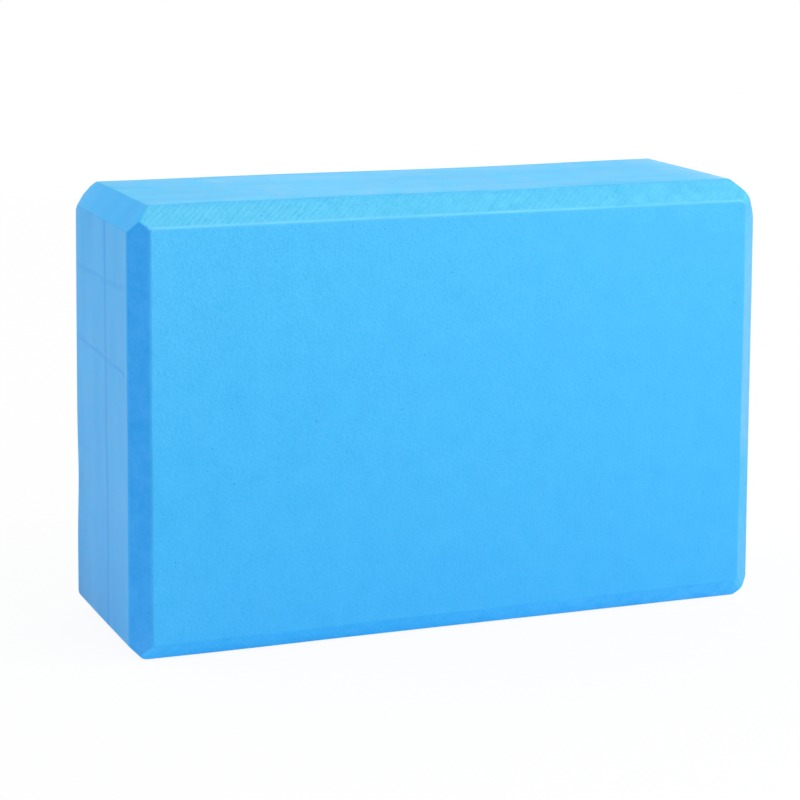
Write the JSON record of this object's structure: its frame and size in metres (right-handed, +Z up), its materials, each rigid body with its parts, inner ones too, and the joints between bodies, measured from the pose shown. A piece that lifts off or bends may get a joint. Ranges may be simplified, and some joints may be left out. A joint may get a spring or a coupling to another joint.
{
  "type": "foam block",
  "caption": "Rectangular closed-cell foam exercise block with bevelled rims and softened corners, standing on a long narrow face.",
  "frame": {"origin": "centre of the long narrow face that the block stands on", "axes": "+X along the length towards the right end, +Y through the thickness towards the back broad face, +Z up"},
  "size_m": [0.23, 0.075, 0.15],
  "materials": {
    "foam": "closed-cell EVA foam, soft satin skin on the narrow faces and fine matte cell grain on the cut faces"
  },
  "bodies": {
    "root": {"foam_block": "foam"}
  },
  "joints": []
}
